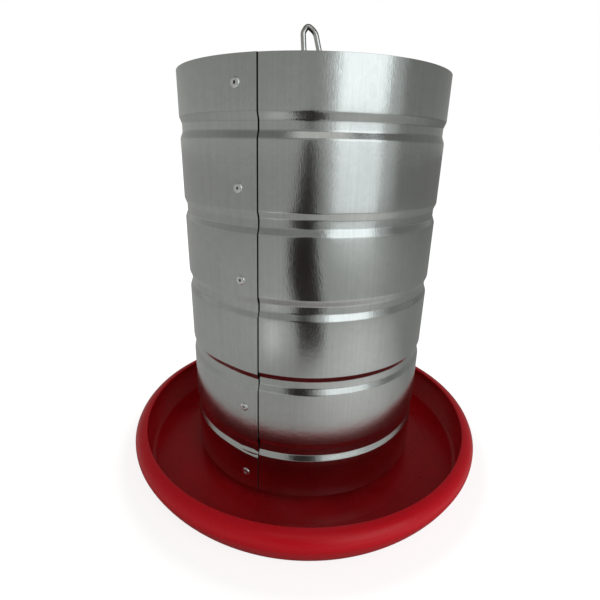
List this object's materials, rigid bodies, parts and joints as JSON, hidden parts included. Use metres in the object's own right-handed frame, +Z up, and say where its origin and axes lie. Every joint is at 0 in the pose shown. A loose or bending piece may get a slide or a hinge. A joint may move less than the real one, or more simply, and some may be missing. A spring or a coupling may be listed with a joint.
{
  "type": "gravity poultry feeder",
  "caption": "Hanging gravity poultry feeder: beaded galvanised hopper tube over a round plastic feed pan, on a central rod with a hanging eye.",
  "frame": {"origin": "on the hopper tube's axis at the pan's underside", "axes": "+Z up along the tube and hanger rod, -Y towards the front, where the lap seam shows a little left of centre"},
  "size_m": [0.4688, 0.4688, 0.5279],
  "materials": {
    "galvanised_sheet": "bright galvanised, fine crinkle",
    "red_plastic": "gloss, moulded",
    "rod_steel": "zinc plated",
    "zinc_fastener": "zinc plated",
    "galvanised_bar": "galvanised",
    "rivet_aluminium": "bright, pressed",
    "mandrel_steel": "snapped, dull",
    "pin_steel": "zinc plated wire"
  },
  "bodies": {
    "base": {"pan": "red_plastic", "hanger_rod": "rod_steel", "pan_upper_washer": "zinc_fastener", "pan_upper_nut": "zinc_fastener", "pan_lower_washer": "zinc_fastener", "pan_lower_nut": "zinc_fastener", "tube_rest_washer": "zinc_fastener"},
    "tube": {"tube_sheet": "galvanised_sheet", "lower_crossbar": "galvanised_bar", "upper_crossbar": "galvanised_bar", "seam_rivet_1": "rivet_aluminium", "seam_rivet_2": "rivet_aluminium", "seam_rivet_3": "rivet_aluminium", "seam_rivet_4": "rivet_aluminium", "seam_rivet_5": "rivet_aluminium", "seam_rivet_mandrel_1": "mandrel_steel", "seam_rivet_mandrel_2": "mandrel_steel", "seam_rivet_mandrel_3": "mandrel_steel", "seam_rivet_mandrel_4": "mandrel_steel", "seam_rivet_mandrel_5": "mandrel_steel", "crossbar_rivet_lower_left": "rivet_aluminium", "crossbar_rivet_lower_right": "rivet_aluminium", "crossbar_rivet_upper_left": "rivet_aluminium", "crossbar_rivet_upper_right": "rivet_aluminium", "crossbar_mandrel_lower_left": "mandrel_steel", "crossbar_mandrel_lower_right": "mandrel_steel", "crossbar_mandrel_upper_left": "mandrel_steel", "crossbar_mandrel_upper_right": "mandrel_steel"},
    "height_pin": {"height_pin": "pin_steel"}
  },
  "joints": [
    {"name": "tube_height", "type": "slide", "parent": "base", "child": "tube", "axis": [0, 0, 1], "range_m": [0, 0.036]},
    {"name": "pin_pull", "type": "slide", "parent": "base", "child": "height_pin", "axis": [0, -1, 0], "range_m": [0, 0.02]}
  ]
}
